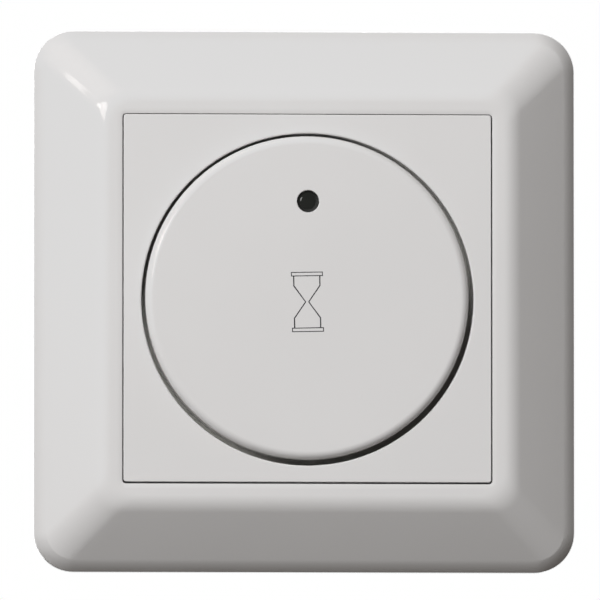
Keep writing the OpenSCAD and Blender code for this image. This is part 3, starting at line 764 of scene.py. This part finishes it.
    def _ribs(self) -> Object:
        """Repeats the locating rib, two on each side of the frame.

        Returns:
            All ribs as one piece.
        """
        mould = Mould()
        mould.prism(self.rib_section(), self.rib_t)
        recipe = Recipe("frame_ribs")
        count = recipe.size("Side Count", self.sides)
        place = recipe.size("Rib Place", self.rib_place * MM)
        add = recipe.add
        high = add("ShaderNodeCombineXYZ", {"Z": place})
        low = add("ShaderNodeVectorMath", {0: high, "Scale": -1.0}, operation="SCALE")
        ends = {"Count": 2, "Start Location": low, "Offset": high}
        row = add("GeometryNodeMeshLine", ends, mode="END_POINTS")
        rib = recipe.entry.outputs["Geometry"]
        pair = add("GeometryNodeInstanceOnPoints", {"Points": row, "Instance": rib})
        copies = recipe.around(pair, count, 0.0, 0)
        return recipe.serve(copies, self.finish, mould.mesh("frame_rib"))


@dataclass(frozen=True)
class CentrePlate(Assembly):
    """The flush square plate: skirt on the frame's ledge, collar round the button, four hook legs."""

    node: str = "centre_plate"
    half: float = 27.5
    corner: float = 0.4
    edge_r: float = 0.15
    front: float = PLATE_FRONT
    under: float = 7.95
    skirt_end: float = 5.35
    skirt_t: float = 1.2
    hole_r: float = 24.84
    hole_up: float = -0.08
    hole_edge_r: float = 0.3
    collar_r: float = 26.25
    collar_end: float = 3.4
    rebate_r: float = 25.45
    rebate_top: float = 4.95
    hook_r: float = 28.56
    hook_t: float = 1.4
    hook_w: float = 5.0
    hook_barb: float = 0.8
    hook_end: float = -1.6
    nub_low: float = 2.95
    nub_top: float = 3.55
    nub_w: float = 3.0
    rest_up: float = 0.1

    def rings(self) -> list[Ring]:
        """Draws the section from the hole's edge over the face, round the skirt and back up the hole.

        Returns:
            The section's rings.
        """
        circle = partial(Ring, Outline.ROUND, up=self.hole_up)
        square = partial(Ring, Outline.SQUARE, up=self.rest_up)
        edge = (self.half - self.edge_r, self.front - self.edge_r)
        lip = (self.hole_r + self.hole_edge_r, self.front - self.hole_edge_r)
        inner = self.half - self.skirt_t
        corner = self.corner - self.edge_r
        rolled = arc(edge, self.edge_r, QUARTER, 0, Steps.PLAIN)
        rings = [circle(r, out) for r, out in arc(lip, self.hole_edge_r, math.pi, QUARTER, Steps.SMALL)]
        rings += [circle(lip[0] + SUPPORT, self.front), square(edge[0] - SUPPORT, self.front, corner)]
        rings += [square(h, out, corner + h - edge[0]) for h, out in rolled]
        rings += [square(self.half, self.skirt_end, self.corner)]
        rings += [square(inner, out, self.corner) for out in (self.skirt_end, self.under)]
        rings += [circle(self.collar_r, self.under), circle(self.collar_r, self.collar_end)]
        rings += [circle(self.rebate_r, self.collar_end), circle(self.rebate_r, self.rebate_top)]
        rings += [circle(self.hole_r, self.rebate_top)]
        return supported(rings)

    def build(self) -> list[Object]:
        """Builds the plate, a hair high in the frame, with its hooks and the carrier's nubs.

        Returns:
            The plate.
        """
        mould = Mould(self.rings())
        near, far, top = self.hook_r - self.hook_t / 2, self.hook_r + self.hook_t / 2, self.under + SUNK
        hook = [(near, top), (far, top), (far, 0), (far + self.hook_barb, 0)]
        hook += [(far + BARB_TIP, self.hook_end), (near, self.hook_end)]
        nub = block(self.rebate_r - BITE, self.rebate_r + BITE, self.nub_low, self.nub_top)
        for turn in DIAGONALS:
            mould.prism(hook, self.hook_w, turn)
            mould.prism(nub, self.nub_w, turn)
        return [mould.piece("plate_moulding")]


@dataclass(frozen=True)
class PushButton(Assembly):
    """The round button: flat face with a rolled edge, skirt, ribs, centre boss and hooked guide legs."""

    body: str = "button"
    node: str = "push_button"
    radius: float = 24.2
    edge_r: float = 1.2
    rest_across: float = -0.1
    rest_up: float = 0.1
    front: float = BUTTON_FRONT
    under: float = 9.55
    skirt_end: float = 6.35
    skirt_t: float = 1.4
    lens_up: float = LENS_UP
    lens_hole_r: float = 1.65
    lens_edge_r: float = 0.12
    boss_r: float = 3.0
    boss_end: float = 2.6
    peg_r: float = 1.45
    peg_place: float = SPRING_PLACE
    peg_h: float = 1.0
    rib_t: float = 1.2
    rib_h: float = 2.0
    rib_deg: float = 22.5
    leg_r: float = 17.5
    leg_t: float = 1.4
    leg_w: float = 4.0
    leg_barb: float = 0.9
    leg_stop: float = 3.55
    leg_end: float = 2.35

    def rings(self) -> list[Ring]:
        """Draws the section from the lens hole over the face, round the skirt and back through the hole.

        Returns:
            The section's rings.
        """
        hole = partial(Ring, Outline.ROUND, up=self.lens_up)
        cap = partial(Ring, Outline.ROUND, across=self.rest_across, up=self.rest_up)
        edge = (self.radius - self.edge_r, self.front - self.edge_r)
        lip = (self.lens_hole_r + self.lens_edge_r, self.front - self.lens_edge_r)
        inner = self.radius - self.skirt_t
        rings = [hole(r, out) for r, out in arc(lip, self.lens_edge_r, math.pi, QUARTER, Steps.SMALL)]
        rings += [hole(lip[0] + SUPPORT, self.front), cap(edge[0] - SUPPORT, self.front)]
        rings += [cap(r, out) for r, out in arc(edge, self.edge_r, QUARTER, 0, Steps.BROAD)]
        rings += [cap(self.radius, self.skirt_end), cap(inner, self.skirt_end), cap(inner, self.under)]
        rings += [hole(self.lens_hole_r, self.under)]
        return supported(rings)

    def build(self) -> list[Object]:
        """Builds the button with all that hangs under its face.

        Returns:
            The button.
        """
        mould = Mould(self.rings())
        top = self.under + SUNK
        mould.spin(block(0, self.boss_r, self.boss_end, top))
        near, far = self.leg_r - self.leg_t / 2, self.leg_r + self.leg_t / 2
        leg = [(near, top), (far, top), (far, self.leg_stop), (far + self.leg_barb, self.leg_stop)]
        leg += [(far + BARB_TIP, self.leg_end), (near, self.leg_end)]
        rib = block(self.boss_r - BITE, self.radius - self.skirt_t + BITE, self.under - self.rib_h, top)
        peg = block(0, self.peg_r, self.under - self.peg_h, top)
        for turn, way in zip(DIAGONALS, CROSS):
            mould.prism(leg, self.leg_w, turn)
            for side in (-1, 1):
                mould.prism(rib, self.rib_t, turn + side * self.rib_deg)
            across, up = (self.peg_place * part(math.radians(way)) for part in (math.cos, math.sin))
            mould.spin(peg, across, up, PEG_STEPS)
        return [mould.piece("button_moulding")]


@dataclass(frozen=True)
class IndicatorLens(Assembly):
    """The smoked light pipe: domed end in the button's face, flange behind it, rod towards the lamp."""

    body: str = "button"
    slot: str = "lens_smoked"
    node: str = "indicator_lens"
    up: float = LENS_UP
    top: float = 11.1
    radius: float = 1.6
    dome_r: float = 9.0
    edge_r: float = 0.75
    flange_r: float = 2.5
    flange_top: float = 9.55
    flange_low: float = 8.75
    pipe_r: float = 1.5
    pipe_end: float = 3.0

    def build(self) -> list[Object]:
        """Builds the lens.

        Returns:
            The lens.
        """
        shoulder = (self.radius - self.edge_r) / (1 - self.edge_r / self.dome_r)
        lean = math.asin(shoulder / self.dome_r)
        dome = arc((0, self.top - self.dome_r), self.dome_r, QUARTER, QUARTER - lean, Steps.PLAIN)
        edge = (self.radius - self.edge_r, dome[-1][1] - self.edge_r * math.cos(lean))
        profile = [(0, self.top), *dome[1:], *arc(edge, self.edge_r, QUARTER - lean, 0)[1:]]
        profile += [(self.radius, self.flange_top), (self.flange_r, self.flange_top)]
        profile += [(self.flange_r, self.flange_low), (self.pipe_r, self.flange_low)]
        profile += [(self.pipe_r, self.pipe_end), (0, self.pipe_end)]
        mould = Mould()
        mould.spin(profile, 0, self.up)
        return [mould.piece("lens_pipe")]


@dataclass(frozen=True)
class HourglassPrint(Assembly):
    """The hourglass sign on the button: two flat end boxes and two side lines that don't meet."""

    body: str = "button"
    coat: str = "symbol_ink"
    front: float = BUTTON_FRONT
    across: float = -0.1
    up: float = -0.55
    tilt: float = 1.1
    line: float = 0.19
    film: float = 0.02
    box_half: float = 2.32
    box_top: float = 4.43
    box_low: float = 3.9
    bulb_half: float = 1.95
    bulb_across: float = -0.04
    bulb_low: float = 2.42
    neck_half: float = 0.23

    def lines(self) -> list[tuple[list[Point], bool]]:
        """Draws the sign's lines.

        Returns:
            The points of each line, and whether it closes on itself.
        """
        made = []
        for s in (-1, 1):
            side = [(self.bulb_half, self.box_low), (self.bulb_half, self.bulb_low), (self.neck_half, 0.0)]
            side += [(self.bulb_half, -self.bulb_low), (self.bulb_half, -self.box_low)]
            made.append(([(self.bulb_across + s * x, y) for x, y in side], False))
            box = [(-1, self.box_low), (1, self.box_low), (1, self.box_top), (-1, self.box_top)]
            made.append(([(self.box_half * x, s * y) for x, y in box], True))
        return made

    def sketch(self) -> Mesh:
        """Lays the lines out flat as edges, and notes how much wider the line is across each bend.

        Returns:
            A mesh of edges only, with the mitre of each point.
        """
        paths = bmesh.new()
        mitre = paths.verts.layers.float.new("mitre")
        for points, closed in self.lines():
            row = [paths.verts.new((x * MM, y * MM, 0)) for x, y in points]
            for pair in list(zip(row, row[1:])) + ([(row[-1], row[0])] if closed else []):
                paths.edges.new(pair)
            for here in row:
                ways = [(edge.other_vert(here).co - here.co).normalized() for edge in here.link_edges]
                here[mitre] = 1 / math.sin(ways[0].angle(ways[1]) / 2) if len(ways) == 2 else 1.0
        mesh = bpy.data.meshes.new("hourglass_lines")
        paths.to_mesh(mesh)
        paths.free()
        return mesh

    def build(self) -> list[Object]:
        """Prints the sign as a flat line of ink that follows its path.

        Returns:
            The print.
        """
        recipe = Recipe("hourglass_print")
        width = recipe.size("Line Width", self.line * MM)
        film = recipe.size("Film Thickness", self.film * MM)
        add = recipe.add
        path = add("GeometryNodeMeshToCurve", {"Mesh": recipe.entry.outputs["Geometry"]})
        mitre = add("GeometryNodeInputNamedAttribute", {"Name": "mitre"}, data_type="FLOAT")
        wide = add("GeometryNodeSetCurveRadius", {"Curve": path, "Radius": mitre})
        flat = add("GeometryNodeSetCurveNormal", {"Curve": wide}, mode="Z_UP")
        nib = add("GeometryNodeCurvePrimitiveQuadrilateral", {"Width": width, "Height": film})
        stroke = add("GeometryNodeCurveToMesh", {"Curve": flat, "Profile Curve": nib, "Fill Caps": True})
        lean = (0, 0, math.radians(self.tilt))
        level = add("GeometryNodeTransform", {"Geometry": stroke, "Rotation": lean})
        place = stood(self.across, self.up, self.front)
        upright = add("GeometryNodeTransform", {"Geometry": level, **place})
        return [recipe.serve(upright, self.finish, self.sketch())]


@dataclass(frozen=True)
class ReturnSprings(Assembly):
    """Four coil springs between the carrier and the button."""

    slot: str = "spring_steel"
    node: str = "return_springs"
    place: float = SPRING_PLACE
    radius: float = 2.0
    wire: float = 0.5
    turns: float = 3.5
    seat: float = 4.95
    low: float = 5.22
    high: float = 9.28
    travel: float = 1.2
    count: int = 4
    steps: int = 28
    wire_sides: int = 10

    def build(self) -> list[Object]:
        """Winds the springs.

        Returns:
            All springs as one piece.
        """
        recipe = Recipe("spring_coils")
        radius = recipe.size("Coil Radius", self.radius * MM)
        height = recipe.size("Coil Height", (self.high - self.low) * MM)
        turns = recipe.size("Coil Turns", self.turns)
        wire = recipe.size("Wire Radius", self.wire / 2 * MM)
        count = recipe.size("Spring Count", self.count)
        place = recipe.size("Spring Place", self.place * MM)
        add = recipe.add
        sizes = {"Start Radius": radius, "End Radius": radius, "Height": height, "Reverse": RIGHT_HANDED}
        helix = add("GeometryNodeCurveSpiral", {"Resolution": self.steps, "Rotations": turns, **sizes})
        section = add("GeometryNodeCurvePrimitiveCircle", {"Resolution": self.wire_sides, "Radius": wire})
        coil = add("GeometryNodeCurveToMesh", {"Curve": helix, "Profile Curve": section, "Fill Caps": True})
        spring = add("GeometryNodeTransform", {"Geometry": coil, **stood(0, 0, 0)})
        copies = recipe.around(spring, count, place, self.low)
        return [recipe.serve(copies, self.finish)]

    def dress(self, pieces: list[Object]) -> None:
        """Dresses the springs like any piece, and gives them a mesh of their own.

        Args:
            pieces: The springs.
        """
        super().dress(pieces)
        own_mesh(pieces[0])


@dataclass(frozen=True)
class ClawScrew(Assembly):
    """A claw screw with its thread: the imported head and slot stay, and the shank is slimmed to its core."""

    slot: str = "zinc_steel"
    across: float = 0.0
    up: float = 0.0
    radius: float = 1.5
    core_r: float = 1.22
    pitch: float = 0.5
    end: float = -17.0
    thread_top: float = 0.6
    head_low: float = 1.7
    slack: float = 0.05
    steps: int = 24
    ridge_sides: int = 4

    def build(self) -> list[Object]:
        """Builds the core and winds the thread round it."""
        return [self._core(), self._thread()]

    def _core(self) -> Object:
        """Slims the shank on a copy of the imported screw.

        Returns:
            The core with its head.
        """
        mould = Mould()
        mould.body.from_mesh(bpy.data.objects[self.node].data)
        bmesh.ops.remove_doubles(mould.body, verts=mould.body.verts, dist=MERGE_M)
        axis = spot(self.across, self.up, 0)
        reach, low = (self.radius + self.slack) * MM, (self.head_low + self.slack) * MM
        for vert in mould.body.verts:
            away = Vector((vert.co.x - axis.x, 0, vert.co.z - axis.z))
            if away.length < reach and -vert.co.y < low:
                vert.co -= away * (1 - self.core_r / self.radius)
        return mould.piece(f"{self.node}_core")

    def _thread(self) -> Object:
        """Winds a right-handed ridge from the screw's tip to below its head.

        Returns:
            The ridge.
        """
        depth = self.radius - self.core_r
        start = self.end + depth
        length = self.thread_top - start
        recipe = Recipe(f"{self.node}_thread")
        core = recipe.size("Core Radius", self.core_r * MM)
        ridge = recipe.size("Ridge Depth", depth * MM)
        height = recipe.size("Thread Length", length * MM)
        turns = recipe.size("Thread Turns", length / self.pitch)
        add = recipe.add
        sizes = {"Start Radius": core, "End Radius": core, "Height": height, "Reverse": RIGHT_HANDED}
        helix = add("GeometryNodeCurveSpiral", {"Resolution": self.steps, "Rotations": turns, **sizes})
        flat = add("GeometryNodeSetCurveNormal", {"Curve": helix}, mode="Z_UP")
        section = add("GeometryNodeCurvePrimitiveCircle", {"Resolution": self.ridge_sides, "Radius": ridge})
        wound = add("GeometryNodeCurveToMesh", {"Curve": flat, "Profile Curve": section, "Fill Caps": True})
        placed = add("GeometryNodeTransform", {"Geometry": wound, **stood(self.across, self.up, start)})
        return recipe.serve(placed, self.finish)


@dataclass(frozen=True)
class Insert:
    """Everything behind the covers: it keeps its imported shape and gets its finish."""

    slots: dict[str, str]
    nodes: dict[str, Object]

    def dress(self, finishes: dict[str, Material]) -> list[Object]:
        """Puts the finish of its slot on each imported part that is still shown.

        Args:
            finishes: The material of each slot.

        Returns:
            The dressed parts.
        """
        dressed = [node for name, node in self.nodes.items() if name in self.slots and not node.hide_render]
        for node in dressed:
            for holder in node.material_slots:
                holder.material = finishes[self.slots[node.name]]
        return dressed


class Throw(Enum):
    """What a soft light is for: to light, or to be mirrored in a gloss."""

    LIGHT = "light"
    MIRROR = "mirror"


class Face(Enum):
    """The shape of a soft light's face."""

    ROUND = "ELLIPSE"
    SQUARE = "RECTANGLE"


@dataclass(frozen=True)
class Softbox:
    """A soft light that looks at the switch from one direction."""

    name: str
    direction: tuple[float, float, float]
    distance: float
    width: float
    height: float
    radiance: float
    throw: Throw
    face: Face = Face.ROUND
    turn_deg: float = 0.0

    def place(self) -> None:
        """Hangs the light."""
        lamp = bpy.data.lights.new(self.name, "AREA")
        lamp.shape = self.face.value
        lamp.size, lamp.size_y = self.width, self.height
        area = self.width * self.height * (math.pi / 4 if self.face is Face.ROUND else 1)
        lamp.energy = self.radiance * math.pi * area
        towards = Vector(self.direction).normalized()
        holder = bpy.data.objects.new(self.name, lamp)
        facing = towards.to_track_quat("Z", "Y").to_matrix().to_4x4()
        turned = facing @ Matrix.Rotation(math.radians(self.turn_deg), 4, "Z")
        holder.matrix_world = Matrix.Translation(towards * self.distance) @ turned
        holder.visible_diffuse = self.throw is Throw.LIGHT
        holder.visible_glossy = self.throw is Throw.MIRROR
        bpy.context.scene.collection.objects.link(holder)


@dataclass(frozen=True)
class Studio:
    """Camera, soft lights, pale floor and white surroundings."""

    azimuth: float = -3.3
    elevation: float = -3.4
    distance: float = 2.6
    pixels_per_mm: float = 6.695
    frame_pixels: int = 600
    plate_front: float = PLATE_FRONT
    plate_pixel: Point = (307.5, 298.8)
    sensor: float = 36.0
    clip: Point = (0.05, 20.0)
    floor_drop: float = 0.4
    floor_side: float = 8.0
    floor_glow: float = 0.55
    fill_tint: str = "#FFE9D0"
    fill: float = 0.05
    sheen: Point = (0.06, 0.5)
    sheen_spread: Point = (0.3, 1.0)
    sheen_way: tuple[float, float, float] = (0.0, 1.0, 0.2)
    veil: float = 0.008
    tones: tuple[Point, ...] = ((0.62, 0.62), (0.7, 0.69), (0.8, 0.735), (0.9, 0.84))
    softboxes: tuple[Softbox, ...] = (
        Softbox("key_light", (-0.365, -0.835, 0.415), 1.15, 0.8, 0.8, 8.8, Throw.LIGHT),
        Softbox("edge_light", (-0.71, 0.05, 0.67), 1.5, 0.7, 0.7, 3.2, Throw.LIGHT),
        Softbox("front_mirror", (-0.548, -0.79, 0.279), 1.5, 0.66, 0.57, 4.3, Throw.MIRROR),
        Softbox("wing_mirror", (-0.732, -0.587, 0.345), 1.5, 0.345, 0.2, 4.3, Throw.MIRROR, turn_deg=11.0),
        Softbox(
            "side_mirror", (-0.793, -0.439, 0.422), 1.5, 0.032, 0.335, 3.0, Throw.MIRROR, Face.SQUARE, -30.3
        ),
        Softbox("rear_light_left", (-0.28, 0.88, 0.4), 1.8, 1.3, 1.3, 3.8, Throw.LIGHT),
        Softbox("rear_light_right", (0.36, 0.88, 0.28), 1.8, 1.3, 1.3, 3.0, Throw.LIGHT),
        Softbox("rear_mirror", (-0.1, 0.93, 0.35), 1.8, 2.2, 1.6, 1.0, Throw.MIRROR),
    )

    def build(self) -> None:
        """Sets the studio up."""
        view = bpy.context.scene.view_settings
        view.view_transform = "Standard"
        view.use_curve_mapping = True
        points = view.curve_mapping.curves[ALL_CHANNELS].points
        points[0].location = (0.0, self.veil)
        for tone in self.tones:
            points.new(*tone)
        view.curve_mapping.update()
        for softbox in self.softboxes:
            softbox.place()
        self._surroundings()
        self._floor()
        self._camera()

    def _camera(self) -> None:
        """Stands the camera in front, so that the plate's centre falls on its place in the frame."""
        turn, lift = math.radians(self.azimuth), math.radians(self.elevation)
        back = Vector((math.sin(turn) * math.cos(lift), -math.cos(turn) * math.cos(lift), math.sin(lift)))
        facing = back.to_track_quat("Z", "Y").to_matrix()
        middle = self.frame_pixels / 2
        scale = self.pixels_per_mm / MM
        aside, raised = (self.plate_pixel[0] - middle) / scale, (middle - self.plate_pixel[1]) / scale
        target = spot(0, 0, self.plate_front) - facing @ Vector((aside, raised, 0))
        data = bpy.data.cameras.new("camera")
        data.sensor_width = self.sensor
        data.lens = scale * self.distance / self.frame_pixels * self.sensor
        data.clip_start, data.clip_end = self.clip
        camera = bpy.data.objects.new("camera", data)
        camera.matrix_world = Matrix.Translation(target + back * self.distance) @ facing.to_4x4()
        bpy.context.scene.collection.objects.link(camera)
        bpy.context.scene.camera = camera

    def _surroundings(self) -> None:
        """Makes them white to the eye, dim as a light, and for gloss bright behind and dark in front."""
        world = bpy.data.worlds.new("surroundings")
        bpy.context.scene.world = world
        world.use_nodes = True
        world.node_tree.nodes.clear()
        add = partial(add_node, world.node_tree)
        ray = add("ShaderNodeLightPath")
        sky = add("ShaderNodeTexCoord").outputs["Generated"]
        behind = add("ShaderNodeVectorMath", {0: sky, 1: self.sheen_way}, operation="DOT_PRODUCT")
        low, high = self.sheen_spread
        dark, bright = self.sheen
        spread = {"From Min": low, "From Max": high, "To Min": dark, "To Max": bright}
        sheen = add("ShaderNodeMapRange", {"Value": behind.outputs["Value"], **spread})
        dim = add("ShaderNodeBackground", {"Color": linear(self.fill_tint), "Strength": self.fill})
        gloss = add("ShaderNodeBackground", {"Strength": sheen, "Color": WHITE})
        white = add("ShaderNodeBackground", {"Strength": 1.0, "Color": WHITE})
        lit = add("ShaderNodeMixShader", {0: ray.outputs["Is Glossy Ray"], 1: dim, 2: gloss})
        seen = add("ShaderNodeMixShader", {0: ray.outputs["Is Camera Ray"], 1: lit, 2: white})
        add("ShaderNodeOutputWorld", {"Surface": seen})

    def _floor(self) -> None:
        """Lays a pale floor well below the switch; it glows softly, and is seen from above only."""
        reach = self.floor_side / 2
        mesh = bpy.data.meshes.new("floor")
        corners = [(x * reach, y * reach, -self.floor_drop) for x, y in ((-1, -1), (1, -1), (1, 1), (-1, 1))]
        mesh.from_pydata(corners, [], [(0, 1, 2, 3)])
        paint = FLOOR.material()
        tree = paint.node_tree
        surface = next(node for node in tree.nodes if node.type == "BSDF_PRINCIPLED")
        surface.inputs["Emission Color"].default_value = linear(FLOOR.tint)
        surface.inputs["Emission Strength"].default_value = self.floor_glow
        end = next(node for node in tree.nodes if node.type == "OUTPUT_MATERIAL")
        under = add_node(tree, "ShaderNodeNewGeometry").outputs["Backfacing"]
        clear = add_node(tree, "ShaderNodeBsdfTransparent")
        sided = add_node(tree, "ShaderNodeMixShader", {0: under, 1: surface, 2: clear})
        tree.links.new(sided.outputs[0], end.inputs["Surface"])
        mesh.materials.append(paint)
        ground = shown("floor", mesh)
        ground.visible_diffuse = ground.visible_glossy = ground.visible_shadow = False


def clear_scene() -> None:
    """Takes away whatever Blender starts with."""
    for leftover in list(bpy.data.objects):
        bpy.data.objects.remove(leftover)


def main() -> None:
    """Loads the frame, builds and dresses every piece, and logs each piece's body, faces and finish."""
    logging.basicConfig(level=logging.INFO, format="%(message)s")
    clear_scene()
    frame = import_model()
    finishes = {name: finish.material() for name, finish in FINISHES.items()}
    assemblies: list[Assembly] = [
        CoverFrame(finishes),
        CentrePlate(finishes),
        PushButton(finishes),
        IndicatorLens(finishes),
        HourglassPrint(finishes),
        ReturnSprings(finishes),
        ClawScrew(finishes, "left_claw_screw", node="claw_screw_left", across=-24.6, up=7.5),
        ClawScrew(finishes, "right_claw_screw", node="claw_screw_right", across=24.6, up=-7.5),
    ]
    for assembly in assemblies:
        pieces = assembly.build()
        assembly.dress(pieces)
        for piece in pieces:
            LOG.info("%s rides on %s, %d faces", piece.name, assembly.body, len(piece.data.polygons))
    slots = {row["node"]: row["material_slot"] for row in frame["record"]["subparts"]}
    for node in Insert(slots, frame["nodes"]).dress(finishes):
        LOG.info("%s dressed in %s", node.name, node.active_material.name)
    Studio().build()


if __name__ == "__main__":
    main()
